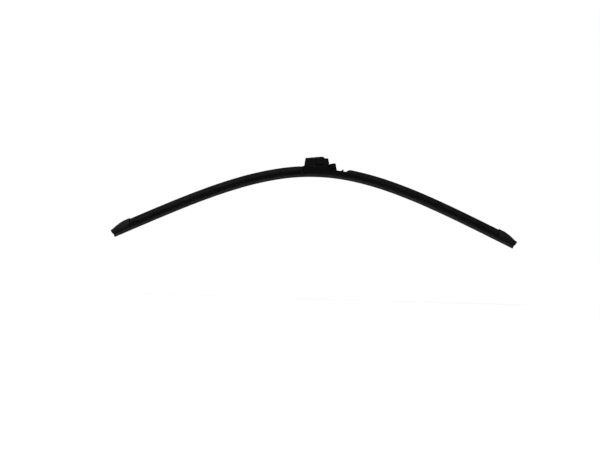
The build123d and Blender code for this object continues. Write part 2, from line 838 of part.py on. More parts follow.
# Lock button: ramped tongue on two trunnions, with a skirt down each side
with BuildPart() as lock_button:
    with BuildSketch(side_view):
        with BuildLine():
            ramp = Line(
                (-button_left, deck_height + button_heel_rise),
                (button_right - button_crest_setback, deck_height + button_crest_rise),
            )
            nose = TangentArc(
                ramp @ 1, (button_right, deck_height + button_end_rise), tangent=ramp % 1
            )
            Polyline(
                nose @ 1,
                (button_right, plate_base_height),
                (-button_left, plate_base_height),
                ramp @ 0,
            )
        make_face()
    extrude(amount=button_width / 2, both=True)
    tongue_sides = lock_button.faces().filter_by(Axis.Y)
    chamfer(tongue_sides.edges().filter_by(lambda edge: edge.center().Z > 0), length=button_chamfer)
    with BuildSketch(side_view):
        with Locations((hinge_x, hinge_height)):
            Circle(hinge_boss_radius)
    extrude(amount=button_width / 2, both=True)
    with BuildSketch(side_view):
        with BuildLine():
            Polyline(
                (skirt_left, deck_height - shoulder_below_deck),
                (skirt_right, deck_height - shoulder_below_deck),
                (skirt_right, deck_height - skirt_depth),
                (skirt_left, deck_height - skirt_depth - skirt_slant),
                close=True,
            )
        make_face()
    extrude(amount=adapter_width / 2, both=True)
    with BuildSketch(side_view):
        with Locations((skirt_left, plate_base_height)):
            Rectangle(
                skirt_right - skirt_left,
                skirt_depth + skirt_slant,
                align=(Align.MIN, Align.MAX),
            )
    extrude(amount=adapter_width / 2 - skirt_wall, both=True, mode=Mode.SUBTRACT)
    with BuildSketch(side_view):
        with BuildLine():
            Polyline(
                (hinge_x, plate_base_height),
                (hinge_x, rib_base_height),
                (leaf_tip.X - 2 * push_rib_length, rib_base_height),
                (leaf_tip.X - push_rib_length, push_height),
                (leaf_tip.X + push_rib_length, push_height),
                (leaf_tip.X + push_rib_length, plate_floor_height),
                (button_right + toe_length, plate_floor_height),
                (button_right + toe_length, plate_floor_height + toe_height),
                (button_right, plate_floor_height + toe_height),
                (button_right, plate_base_height),
                close=True,
            )
        make_face()
    extrude(amount=push_rib_width / 2, both=True)
    with BuildSketch(side_view):
        with Locations((hinge_x, hinge_height)):
            Circle(trunnion_radius)
    extrude(amount=pocket_half + trunnion_length, both=True)
lock_button.part.label = "lock_button"
export_step(lock_button.part, "parts/lock_button.step")
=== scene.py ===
"""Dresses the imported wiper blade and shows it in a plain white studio.

The strips that follow the blade's bow are drawn by Geometry Nodes, and the moulded pieces are
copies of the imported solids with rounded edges. The blade's sizes are in millimetres. Meshes and
the studio are in metres.
"""

import logging
import math
from dataclasses import dataclass
from enum import Enum

import bmesh
import bpy
from mathutils import Matrix, Vector


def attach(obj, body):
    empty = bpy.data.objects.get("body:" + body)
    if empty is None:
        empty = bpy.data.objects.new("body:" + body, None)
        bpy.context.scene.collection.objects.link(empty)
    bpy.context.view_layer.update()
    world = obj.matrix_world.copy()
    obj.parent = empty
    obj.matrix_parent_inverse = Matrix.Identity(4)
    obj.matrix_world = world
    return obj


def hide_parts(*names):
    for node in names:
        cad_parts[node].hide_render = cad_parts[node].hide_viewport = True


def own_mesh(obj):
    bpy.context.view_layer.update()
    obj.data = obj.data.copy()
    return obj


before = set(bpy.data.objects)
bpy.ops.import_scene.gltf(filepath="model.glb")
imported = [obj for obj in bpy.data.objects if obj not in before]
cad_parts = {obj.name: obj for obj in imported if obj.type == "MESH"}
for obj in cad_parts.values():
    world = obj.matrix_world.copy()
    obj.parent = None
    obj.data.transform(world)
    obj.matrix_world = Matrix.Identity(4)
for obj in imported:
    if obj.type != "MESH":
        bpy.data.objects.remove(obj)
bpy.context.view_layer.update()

log = logging.getLogger("wiper_blade")

MM = 0.001
Point = tuple[float, float]
Span = tuple[float, float]
Corner = tuple[float, float, float]


def linear(colour: str) -> tuple[float, float, float, float]:
    """Turn an sRGB hex colour into linear RGBA.

    Args:
        colour: Six hex digits after a hash sign.

    Returns:
        Linear red, green and blue, and an alpha of 1.
    """
    parts = [int(colour[i : i + 2], 16) / 255 for i in (1, 3, 5)]
    red, green, blue = (p / 12.92 if p <= 0.04045 else ((p + 0.055) / 1.055) ** 2.4 for p in parts)
    return red, green, blue, 1.0


def add(
    tree: bpy.types.NodeTree,
    kind: str,
    inputs: dict[str | int, object] | None = None,
    **settings: object,
) -> bpy.types.Node:
    """Add a node to a tree, with its settings, values and links.

    Args:
        tree: Shader or geometry tree.
        kind: Type of the node.
        inputs: Value, or output socket to link, for each input by name or number.
        settings: Attributes of the node.

    Returns:
        The new node.
    """
    node = tree.nodes.new(kind)
    for key, value in settings.items():
        setattr(node, key, value)
    for key, value in (inputs or {}).items():
        if isinstance(value, bpy.types.NodeSocket):
            tree.links.new(value, node.inputs[key])
        else:
            node.inputs[key].default_value = value
    return node


def new_material(name: str) -> bpy.types.Material:
    """Make a material with an empty node tree.

    Args:
        name: Name of the material.

    Returns:
        The new material.
    """
    material = bpy.data.materials.new(name)
    material.use_nodes = True
    material.node_tree.nodes.clear()
    return material


def link(name: str, data: bpy.types.ID) -> bpy.types.Object:
    """Put data into the scene as an object at the origin.

    Args:
        name: Name of the object.
        data: Mesh, curve, light or camera.

    Returns:
        The new object.
    """
    made = bpy.data.objects.new(name, data)
    bpy.context.scene.collection.objects.link(made)
    return made


def discard(*helpers: bpy.types.Object) -> None:
    """Remove helper objects from the file."""
    for helper in helpers:
        bpy.data.objects.remove(helper)


# Finishes


@dataclass(frozen=True)
class ExtrudedRubber:
    """Rubber drawn through a die: soft sheen, draw lines along the run, pale bloom in patches."""

    name: str
    colour: str
    bloom: str
    roughness: float
    specular: float
    line_mm: float
    patch_mm: float
    relief_mm: float
    line_stretch: float = 60.0
    line_depth: float = 0.6
    bloom_span: Span = (0.38, 0.72)
    polish: float = 0.05
    dulling: float = 0.12
    ior: float = 1.52

    def material(self) -> bpy.types.Material:
        """Build the material from the strip's run and girth attributes.

        Returns:
            The new material.
        """
        made = new_material(self.name)
        tree = made.node_tree
        run = add(tree, "ShaderNodeAttribute", attribute_name="run")
        girth = add(tree, "ShaderNodeAttribute", attribute_name="girth")
        surface = add(
            tree, "ShaderNodeCombineXYZ", {"X": run.outputs["Fac"], "Y": girth.outputs["Fac"]}
        )
        # Draw lines are real at a few hundredths of a millimetre; coarser here, so that they show
        width = self.line_mm * MM
        draw = add(
            tree,
            "ShaderNodeMapping",
            {
                "Vector": surface.outputs["Vector"],
                "Scale": (1 / (self.line_stretch * width), 1 / width, 1.0),
            },
        )
        lines = add(
            tree,
            "ShaderNodeTexNoise",
            {"Vector": draw.outputs["Vector"], "Scale": 1.0, "Detail": 3.0},
        )
        coords = add(tree, "ShaderNodeTexCoord")
        patches = add(
            tree,
            "ShaderNodeTexNoise",
            {
                "Vector": coords.outputs["Object"],
                "Scale": 1 / (self.patch_mm * MM),
                "Detail": 6.0,
                "Roughness": 0.62,
            },
        )
        bloom = add(
            tree,
            "ShaderNodeMapRange",
            {
                "Value": patches.outputs["Fac"],
                "From Min": self.bloom_span[0],
                "From Max": self.bloom_span[1],
            },
        )
        streaked = add(
            tree,
            "ShaderNodeMath",
            {0: bloom.outputs["Result"], 1: lines.outputs["Fac"]},
            operation="MULTIPLY",
        )
        tone = add(
            tree,
            "ShaderNodeMix",
            {"Factor": streaked.outputs[0], "A": linear(self.colour), "B": linear(self.bloom)},
            data_type="RGBA",
        )
        sheen = add(
            tree,
            "ShaderNodeMapRange",
            {
                "Value": streaked.outputs[0],
                "To Min": self.roughness - self.polish,
                "To Max": self.roughness + self.dulling,
            },
        )
        relief = add(
            tree,
            "ShaderNodeBump",
            {
                "Height": lines.outputs["Fac"],
                "Strength": self.line_depth,
                "Distance": self.relief_mm * MM,
            },
        )
        shader = add(
            tree,
            "ShaderNodeBsdfPrincipled",
            {
                "Base Color": tone.outputs["Result"],
                "Roughness": sheen.outputs["Result"],
                "Specular IOR Level": self.specular,
                "IOR": self.ior,
                "Normal": relief.outputs["Normal"],
            },
        )
        add(tree, "ShaderNodeOutputMaterial", {"Surface": shader.outputs["BSDF"]})
        return made


@dataclass(frozen=True)
class MouldedPlastic:
    """Black moulded plastic: spark-eroded grain, a pale film, glossier edges and a painted edge
    highlight.
    """

    name: str
    colour: str
    film_and_highlight_tone: str
    roughness: float
    specular: float
    grain_mm: float
    relief_mm: float
    grain_depth: float = 0.5
    flow_mm: float = 9.0
    flow_swirl: float = 0.6
    patchiness_span: Span = (0.35, 0.65)
    film_share: float = 0.1
    burnish: float = 0.14
    ior: float = 1.48

    def material(self) -> bpy.types.Material:
        """Build the material from object coordinates and the piece's edge attribute.

        Returns:
            The new material.
        """
        made = new_material(self.name)
        tree = made.node_tree
        coords = add(tree, "ShaderNodeTexCoord")
        # Eroded grain is about 0.1 mm wide; drawn coarser, so that it shows in the render
        grain = add(
            tree,
            "ShaderNodeTexNoise",
            {
                "Vector": coords.outputs["Object"],
                "Scale": 1 / (self.grain_mm * MM),
                "Detail": 2.0,
                "Roughness": 0.5,
            },
        )
        flow = add(
            tree,
            "ShaderNodeTexNoise",
            {
                "Vector": coords.outputs["Object"],
                "Scale": 1 / (self.flow_mm * MM),
                "Detail": 4.0,
                "Distortion": self.flow_swirl,
            },
        )
        edge = add(tree, "ShaderNodeAttribute", attribute_name="edge")
        patchiness = add(
            tree,
            "ShaderNodeMapRange",
            {
                "Value": flow.outputs["Fac"],
                "From Min": self.patchiness_span[0],
                "From Max": self.patchiness_span[1],
            },
        )
        # Painted highlight: the rounded edges are painted paler in patches, and they are also made
        # glossier
        edge_highlight_and_gloss = add(
            tree,
            "ShaderNodeMath",
            {0: edge.outputs["Fac"], 1: patchiness.outputs["Result"]},
            operation="MULTIPLY",
        )
        # Tone mix: a pale film in patches, with the painted edge highlight on top of it
        film_and_highlight = add(
            tree,
            "ShaderNodeMath",
            {0: patchiness.outputs["Result"], 1: self.film_share, 2: edge_highlight_and_gloss.outputs[0]},
            operation="MULTIPLY_ADD",
            use_clamp=True,
        )
        tone = add(
            tree,
            "ShaderNodeMix",
            {"Factor": film_and_highlight.outputs[0], "A": linear(self.colour), "B": linear(self.film_and_highlight_tone)},
            data_type="RGBA",
        )
        gloss = add(
            tree,
            "ShaderNodeMapRange",
            {
                "Value": edge_highlight_and_gloss.outputs[0],
                "To Min": self.roughness,
                "To Max": self.roughness - self.burnish,
            },
        )
        relief = add(
            tree,
            "ShaderNodeBump",
            {
                "Height": grain.outputs["Fac"],
                "Strength": self.grain_depth,
                "Distance": self.relief_mm * MM,
            },
        )
        shader = add(
            tree,
            "ShaderNodeBsdfPrincipled",
            {
                "Base Color": tone.outputs["Result"],
                "Roughness": gloss.outputs["Result"],
                "Specular IOR Level": self.specular,
                "IOR": self.ior,
                "Normal": relief.outputs["Normal"],
            },
        )
        add(tree, "ShaderNodeOutputMaterial", {"Surface": shader.outputs["BSDF"]})
        return made


class Lay(Enum):
    """Direction of the fine lines from rolling or turning, as pattern sizes along X, Y and Z."""

    ALONG = (30.0, 0.25, 0.25)
    ACROSS = (0.3, 12.0, 0.3)


@dataclass(frozen=True)
class RolledSteel:
    """Bare or thinly coated steel: fine lines from the rolls, and a drift of tint from heat."""

    name: str
    colour: str
    tint: str
    roughness: float
    metallic: float
    lay: Lay
    line_depth: float = 0.4
    line_gloss: float = 0.1
    relief_mm: float = 0.02
    drift_mm: float = 14.0

    def material(self) -> bpy.types.Material:
        """Build the material from object coordinates.

        Returns:
            The new material.
        """
        made = new_material(self.name)
        tree = made.node_tree
        coords = add(tree, "ShaderNodeTexCoord")
        stretch = add(
            tree,
            "ShaderNodeMapping",
            {
                "Vector": coords.outputs["Object"],
                "Scale": tuple(1 / (size * MM) for size in self.lay.value),
            },
        )
        lines = add(
            tree,
            "ShaderNodeTexNoise",
            {"Vector": stretch.outputs["Vector"], "Scale": 1.0, "Detail": 3.0},
        )
        drift = add(
            tree,
            "ShaderNodeTexNoise",
            {
                "Vector": coords.outputs["Object"],
                "Scale": 1 / (self.drift_mm * MM),
                "Detail": 2.0,
            },
        )
        tone = add(
            tree,
            "ShaderNodeMix",
            {"Factor": drift.outputs["Fac"], "A": linear(self.colour), "B": linear(self.tint)},
            data_type="RGBA",
        )
        gloss = add(
            tree,
            "ShaderNodeMapRange",
            {
                "Value": lines.outputs["Fac"],
                "To Min": self.roughness - self.line_gloss,
                "To Max": self.roughness + self.line_gloss,
            },
        )
        relief = add(
            tree,
            "ShaderNodeBump",
            {
                "Height": lines.outputs["Fac"],
                "Strength": self.line_depth,
                "Distance": self.relief_mm * MM,
            },
        )
        shader = add(
            tree,
            "ShaderNodeBsdfPrincipled",
            {
                "Base Color": tone.outputs["Result"],
                "Roughness": gloss.outputs["Result"],
                "Metallic": self.metallic,
                "Normal": relief.outputs["Normal"],
            },
        )
        add(tree, "ShaderNodeOutputMaterial", {"Surface": shader.outputs["BSDF"]})
        return made


# Graphite-coated natural rubber: dull dark grey, the palest strip of the blade
COATED_RUBBER = ExtrudedRubber(
    name="graphite_coated_rubber",
    colour="#272727",
    bloom="#3d3d3d",
    roughness=0.6,
    specular=0.2,
    line_mm=0.16,
    patch_mm=7.0,
    relief_mm=0.03,
)
# Extruded elastomer of the spoiler: near black, with a satin bloom along its flanks
SPOILER_RUBBER = ExtrudedRubber(
    name="extruded_spoiler_elastomer",
    colour="#0c0c0c",
    bloom="#171719",
    roughness=0.44,
    specular=0.24,
    line_mm=0.3,
    patch_mm=11.0,
    relief_mm=0.04,
)
# In the moulded plastics below, the second, paler colour is a pale film and a painted highlight on
# the rounded edges
# Moulded caps: a shade paler than the spoiler beside them, with a matt eroded grain
CAP_PLASTIC = MouldedPlastic(
    name="eroded_cap_plastic",
    colour="#171717",
    film_and_highlight_tone="#242424",
    roughness=0.48,
    specular=0.25,
    grain_mm=0.45,
    relief_mm=0.05,
)
# Connector cover: glass-filled plastic, satin, with the grain flattened in moulding
COVER_PLASTIC = MouldedPlastic(
    name="moulded_cover_plastic",
    colour="#0c0c0c",
    film_and_highlight_tone="#1a1a1a",
    roughness=0.45,
    specular=0.24,
    grain_mm=0.4,
    relief_mm=0.04,
)
# Adapter: like the cover, but a shade paler, and a little smoother from the arm's channel
ADAPTER_PLASTIC = MouldedPlastic(
    name="moulded_adapter_plastic",
    colour="#121212",
    film_and_highlight_tone="#222222",
    roughness=0.42,
    specular=0.25,
    grain_mm=0.35,
    relief_mm=0.035,
)
# Acetal button: smoother than the adapter round it, from the thumb and the arm's window
BUTTON_PLASTIC = MouldedPlastic(
    name="smooth_acetal",
    colour="#131313",
    film_and_highlight_tone="#242424",
    roughness=0.36,
    specular=0.27,
    grain_mm=0.3,
    relief_mm=0.02,
)
# Rolled spring steel of the rails: dark grey from the hardening oven
RAIL_STEEL = RolledSteel(
    name="hardened_rail_steel",
    colour="#7c7c7e",
    tint="#646468",
    roughness=0.38,
    metallic=1.0,
    lay=Lay.ALONG,
)
# Sheet steel with a black dip coat: not a bare metal any more
BRIDGE_STEEL = RolledSteel(
    name="black_coated_sheet_steel",
    colour="#141416",
    tint="#1e1e20",
    roughness=0.42,
    metallic=0.0,
    lay=Lay.ALONG,
)
# Zinc-plated rivet: pale grey, with turned lines round its shank
RIVET_STEEL = RolledSteel(
    name="zinc_plated_steel",
    colour="#a9abad",
    tint="#93969a",
    roughness=0.34,
    metallic=1.0,
    lay=Lay.ACROSS,
)
# Blued leaf: temper colours over bright steel
LEAF_STEEL = RolledSteel(
    name="blued_spring_steel",
    colour="#8e9096",
    tint="#5b606f",
    roughness=0.3,
    metallic=1.0,
    lay=Lay.ALONG,
)


# Shapes


def rounded(corners: list[Corner], steps: int = 4, most: float = 0.48) -> list[Point]:
    """Round the corners of a closed outline.

    Args:
        corners: Across, height and rounding of each corner, counter-clockwise.
        steps: Spans in each rounding.
        most: Share of a side that one rounding may take.

    Returns:
        Points of the outline.
    """
    outline = []
    for i, (across, height, radius) in enumerate(corners):
        corner = Vector((across, height))
        if radius == 0:
            outline.append((across, height))
            continue
        before = Vector(corners[i - 1][:2]) - corner
        after = Vector(corners[(i + 1) % len(corners)][:2]) - corner
        trim = radius / math.tan(before.angle(after) / 2)
        start = corner + before.normalized() * min(trim, most * before.length)
        end = corner + after.normalized() * min(trim, most * after.length)
        for k in range(steps + 1):
            s = k / steps
            point = start * (1 - s) ** 2 + corner * (2 * s * (1 - s)) + end * s**2
            outline.append((point.x, point.y))
    return outline


def mirrored(corners: list[Corner]) -> list[Corner]:
    """Give the same corners on the other side of the middle plane, in the order that closes."""
    return [(-across, height, radius) for across, height, radius in reversed(corners)]


def curve_object(name: str, points: list[Vector], closed: bool) -> bpy.types.Object:
    """Make a helper curve of straight spans.

    Args:
        name: Name of the helper.
        points: Its points in metres.
        closed: Whether it ends where it starts.

    Returns:
        The curve object.
    """
    data = bpy.data.curves.new(name, "CURVE")
    data.dimensions = "3D"
    spline = data.splines.new("POLY")
    spline.points.add(len(points) - 1)
    for spot, point in zip(spline.points, points):
        spot.co = (*point, 1.0)
    spline.use_cyclic_u = closed
    return link(name, data)


@dataclass(frozen=True)
class Bow:
    """Free bow of the blade: tangent arcs out from the middle, then straight runs.

    Runs are measured along the wiping lip from the middle, and heights square to it.
    """

    tip_slope: float = 24.95
    reach: float = 312.0
    ease: int = 3
    arc_count: int = 5
    arc_run: float = 52.4
    deck_height: float = 27.1
    path_step: float = 2.5
    end_span: float = 0.05

    def knot_slope(self, knot: int) -> float:
        """Give the downward slope at a joint between two arcs, in radians."""
        left = 1 - knot * self.arc_run / self.reach
        return math.radians(self.tip_slope) * (1 - left**self.ease)

    def point(self, run: float, height: float = 0.0) -> Vector:
        """Find a point over the lip.

        Args:
            run: Distance along the lip, negative to the left.
            height: Distance above the lip.

        Returns:
            The point in the frame, in metres.
        """
        left = abs(run)
        x = z = slope = 0.0
        for knot in range(self.arc_count):
            step = min(left, self.arc_run)
            radius = self.arc_run / (self.knot_slope(knot + 1) - self.knot_slope(knot))
            turned = slope + step / radius
            x += radius * (math.sin(turned) - math.sin(slope))
            z += radius * (math.cos(turned) - math.cos(slope))
            slope = turned
            left -= step
        x += left * math.cos(slope) + height * math.sin(slope)
        z += height * math.cos(slope) - left * math.sin(slope)
        return Vector((math.copysign(x, run), 0.0, z - self.deck_height)) * MM

    def path(self, start: float, end: float) -> list[Vector]:
        """Find points along the lip, with a short span at each end to set it square.

        Args:
            start: Run of the left end.
            end: Run of the right end.

        Returns:
            The points in the frame, in metres.
        """
        count = round((end - start) / self.path_step)
        runs = [start + (end - start) * i / count for i in range(count + 1)]
        runs[1:1] = [start + self.end_span]
        runs[-1:-1] = [end - self.end_span]
        return [self.point(run) for run in runs]


@dataclass(frozen=True)
class BowSweep:
    """Geometry Nodes that draw a section along the bow, with an optional bore and end cut."""

    bow: Bow
    bore_overrun: float = 1.0
    sharp_angle: float = 32.0

    @staticmethod
    def tree(bored: bool) -> bpy.types.NodeTree:
        """Build the node tree.

        Args:
            bored: Whether a second section is cut out along the strip.

        Returns:
            The tree, with its inputs named.
        """
        made = bpy.data.node_groups.new("bow_sweep", "GeometryNodeTree")
        sweeps = [("Path", "Section")]
        names = ["Path", "Section"]
        if bored:
            sweeps += [("Bore path", "Bore")]
            names += ["Bore path", "Bore", "End cut"]
        for name in names:
            made.interface.new_socket(name, in_out="INPUT", socket_type="NodeSocketObject")
        made.interface.new_socket("Finish", in_out="INPUT", socket_type="NodeSocketMaterial")
        made.interface.new_socket("Strip", in_out="OUTPUT", socket_type="NodeSocketGeometry")
        given = add(made, "NodeGroupInput")
        length = add(made, "GeometryNodeSplineParameter")
        shapes = {}
        for name in names:
            source = add(made, "GeometryNodeObjectInfo", {"Object": given.outputs[name]})
            shapes[name] = source.outputs["Geometry"]
        solids = []
        for path_name, section_name in sweeps:
            upright = add(
                made, "GeometryNodeSetCurveNormal", {"Curve": shapes[path_name]}, mode="Z_UP"
            )
            measured = []
            for curve, attribute in ((upright.outputs[0], "run"), (shapes[section_name], "girth")):
                stored = add(
                    made,
                    "GeometryNodeStoreNamedAttribute",
                    {"Geometry": curve, "Name": attribute, "Value": length.outputs["Length"]},
                    data_type="FLOAT",
                    domain="POINT",
                )
                measured.append(stored.outputs[0])
            swept = add(
                made,
                "GeometryNodeCurveToMesh",
                {"Curve": measured[0], "Profile Curve": measured[1], "Fill Caps": True},
            )
            solids.append(swept.outputs[0])
        strip = solids[0]
        if bored:
            cut = add(
                made,
                "GeometryNodeMeshBoolean",
                {"Mesh 1": strip},
                operation="DIFFERENCE",
                solver="EXACT",
            )
            made.links.new(solids[1], cut.inputs["Mesh 2"])
            made.links.new(shapes["End cut"], cut.inputs["Mesh 2"])
            strip = cut.outputs["Mesh"]
        whole = add(made, "GeometryNodeRealizeInstances", {"Geometry": strip})
        dressed = add(
            made,
            "GeometryNodeSetMaterial",
            {"Geometry": whole.outputs[0], "Material": given.outputs["Finish"]},
        )
        add(made, "NodeGroupOutput", {"Strip": dressed.outputs[0]})
        return made

    @staticmethod
    def section(name: str, outline: list[Point]) -> bpy.types.Object:
        """Lay a section out as the sweep reads it, with both its axes turned round."""
        points = [Vector((-across, -height, 0)) * MM for across, height in outline]
        return curve_object(name, points, closed=True)

    def strip(
        self,
        name: str,
        runs: Span,
        outline: list[Point],
        finish: bpy.types.Material,
        bore: list[Point] | None = None,
        end_cut: bpy.types.Object | None = None,
    ) -> bpy.types.Object:
        """Draw one strip as a plain mesh.

        Args:
            name: Name of the piece.
            runs: Runs of its left and right ends.
            outline: Its section, across and height.
            finish: Its material.
            bore: Section of the hollow in it, if it has one.
            end_cut: Solid to cut off the end of a bored strip, if it has one.

        Returns:
            The strip, at the origin.
        """
        helpers = {
            "Path": curve_object("path", self.bow.path(*runs), closed=False),
            "Section": self.section("section", outline),
        }
        if bore:
            over = (runs[0] - self.bore_overrun, runs[1] + self.bore_overrun)
            helpers["Bore path"] = curve_object("bore_path", self.bow.path(*over), closed=False)
            helpers["Bore"] = self.section("bore", bore)
        if end_cut:
            helpers["End cut"] = end_cut
        values = {**helpers, "Finish": finish}
        tree = self.tree(bored=bool(bore))
        carrier = link("sweep", bpy.data.meshes.new("sweep"))
        nodes = carrier.modifiers.new("sweep", "NODES")
        nodes.node_group = tree
        for socket in tree.interface.items_tree:
            if socket.name in values:
                nodes[socket.identifier] = values[socket.name]
        evaluated = carrier.evaluated_get(bpy.context.evaluated_depsgraph_get())
        mesh = bpy.data.meshes.new_from_object(evaluated)
        mesh.name = name
        carrier.modifiers.remove(nodes)
        discard(carrier, *helpers.values())
        mesh.shade_smooth()
        mesh.set_sharp_from_angle(angle=math.radians(self.sharp_angle))
        return link(name, mesh)


@dataclass(frozen=True)
class EdgeRounding:
    """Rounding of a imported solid's outer edges, with its angles in degrees.

    An edge is rounded only if the edges that turn off at its ends are at least room times the
    radius long. The bevel's own clamp would cut every rounding down to the tightest spot.
    """

    radius: float
    least_angle: float = 60.0
    least_length: float = 0.5
    room: float = 2.0
    straight_angle: float = 150.0
    sharp_angle: float = 40.0
    flat_angle: float = 0.3
    merge_gap: float = 0.002
    spans: int = 2

    def fits(self, edge: bmesh.types.BMEdge) -> bool:
        """Tell whether an edge is sharp, stands out and has room beside it for the rounding.

        Args:
            edge: Edge of the copied solid.

        Returns:
            Whether it is rounded.
        """
        if not (edge.is_manifold and edge.is_convex):
            return False
        if edge.calc_length() < self.least_length * MM:
            return False
        if edge.calc_face_angle() <= math.radians(self.least_angle):
            return False
        for vert in edge.verts:
            along = edge.other_vert(vert).co - vert.co
            for other in vert.link_edges:
                turn = along.angle(other.other_vert(vert).co - vert.co)
                aside = other is not edge and turn < math.radians(self.straight_angle)
                if aside and other.calc_length() < self.room * self.radius * MM:
                    return False
        return True

    def copy(self, node: str, name: str, finish: bpy.types.Material) -> bpy.types.Object:
        """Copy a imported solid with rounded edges, which are marked in the attribute "edge".

        Args:
            node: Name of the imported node.
            name: Name of the new piece.
            finish: Material of the piece.

        Returns:
            The new piece, at the origin.
        """
        shape = bmesh.new()
        shape.from_mesh(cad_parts[node].data)
        bmesh.ops.remove_doubles(shape, verts=shape.verts, dist=self.merge_gap * MM)
        bmesh.ops.dissolve_limit(
            shape,
            angle_limit=math.radians(self.flat_angle),
            verts=shape.verts,
            edges=shape.edges,
        )
        # The rounded faces are marked: the material paints a highlight on them, and the shading
        # below keeps them apart
        film_and_highlight_tone = shape.faces.layers.float.new("edge")
        beveled = bmesh.ops.bevel(
            shape,
            geom=[edge for edge in shape.edges if self.fits(edge)],
            offset=self.radius * MM,
            offset_type="OFFSET",
            segments=self.spans,
            profile=0.5,
            affect="EDGES",
            clamp_overlap=False,
        )
        for face in beveled["faces"]:
            face[film_and_highlight_tone] = 1.0
        bmesh.ops.triangulate(shape, faces=[f for f in shape.faces if len(f.verts) > 4])
        for face in shape.faces:
            face.smooth = True
        # A rounding is smooth in itself and leaves the flat faces beside it flat
        crease = math.radians(self.sharp_angle)
        for edge in shape.edges:
            marks = {face[film_and_highlight_tone] for face in edge.link_faces}
            edge.smooth = len(marks) == 1 and edge.calc_face_angle(0.0) < crease
        mesh = bpy.data.meshes.new(name)
        shape.to_mesh(mesh)
        shape.free()
        mesh.materials.append(finish)
        return link(name, mesh)


MOULDED_EDGES = EdgeRounding(radius=0.15)
LEAF_EDGES = EdgeRounding(radius=0.08)


# Sub-assemblies


class Side(Enum):
    """Side of the blade's middle plane, as the sign of its distance."""

    LEE = -1
    WINDWARD = 1


class End(Enum):
    """End of the blade, as the sign of its run."""

    LEFT = -1
    RIGHT = 1


def seat(piece: bpy.types.Object, node: str, body: str) -> bpy.types.Object:
    """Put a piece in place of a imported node.

    Args:
        piece: The finished piece.
        node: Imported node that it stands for.
        body: Body that it moves with.

    Returns:
        The same piece.
    """
    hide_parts(node)
    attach(piece, body)
    return piece


def dress(node: str, finish: bpy.types.Material) -> bpy.types.Object:
    """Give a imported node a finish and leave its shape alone.

    Args:
        node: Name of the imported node.
        finish: Its material.

    Returns:
        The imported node.
    """
    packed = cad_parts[node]
    for spot in packed.material_slots:
        spot.material = finish
    return packed


@dataclass(frozen=True)
class WipingStrip:
    """Wiping rubber and the two flexor rails in its grooves."""

    sweep: BowSweep
    rubber_run: float = 301.0
    rail_run: float = 297.5
    rail_inner: float = 1.35
    rail_outer: float = 5.6
    rail_base: float = 6.9
    rail_top: float = 7.8
    rail_edge: float = 0.2

    @staticmethod
    def rubber_section() -> list[Point]:
        """Draw the rubber's outline, from the wiping lip up to the head.

        Returns:
            Points of the outline, across and height.
        """
        lip = [(0.35, 0.0, 0.05), (0.8, 3.0, 0.6)]
        shoulder = [(2.6, 3.5, 0.2), (2.6, 4.4, 0.25)]
        tilting_web = [(0.45, 4.4, 0.2), (0.45, 6.0, 0.2)]
        flange = [(3.2, 6.0, 0.25), (3.2, 6.85, 0.2)]
        rail_groove = [(1.3, 6.85, 0.0), (1.3, 7.85, 0.0)]
        head = [(3.0, 7.85, 0.15), (3.0, 9.05, 0.3)]
        half = lip + shoulder + tilting_web + flange + rail_groove + head
        return rounded(half + mirrored(half))

    def rail_section(self, side: Side) -> list[Point]:
        """Draw one rail's outline, with the rounded edges of rolled strip.

        Args:
            side: Side of the blade that the rail is on.

        Returns:
            Points of the outline, across and height.
        """
        near, far = sorted((side.value * self.rail_inner, side.value * self.rail_outer))
        edge = self.rail_edge
        return rounded(
            [
                (near, self.rail_base, edge),
                (far, self.rail_base, edge),
                (far, self.rail_top, edge),
                (near, self.rail_top, edge),
            ]
        )

    def build(self) -> list[bpy.types.Object]:
        """Draw the rubber and both rails along the bow.

        Returns:
            The three pieces.
        """
        rubber = self.sweep.strip(
            "coated_rubber_strip",
            (-self.rubber_run, self.rubber_run),
            self.rubber_section(),
            COATED_RUBBER.material(),
        )
        pieces = [seat(rubber, "wiping_rubber", "blade")]
        steel = RAIL_STEEL.material()
        for side, node in ((Side.LEE, "flexor_rail_front"), (Side.WINDWARD, "flexor_rail_rear")):
            rail = self.sweep.strip(
                f"{node}_strip", (-self.rail_run, self.rail_run), self.rail_section(side), steel
            )
            pieces.append(seat(rail, node, "blade"))
        return pieces


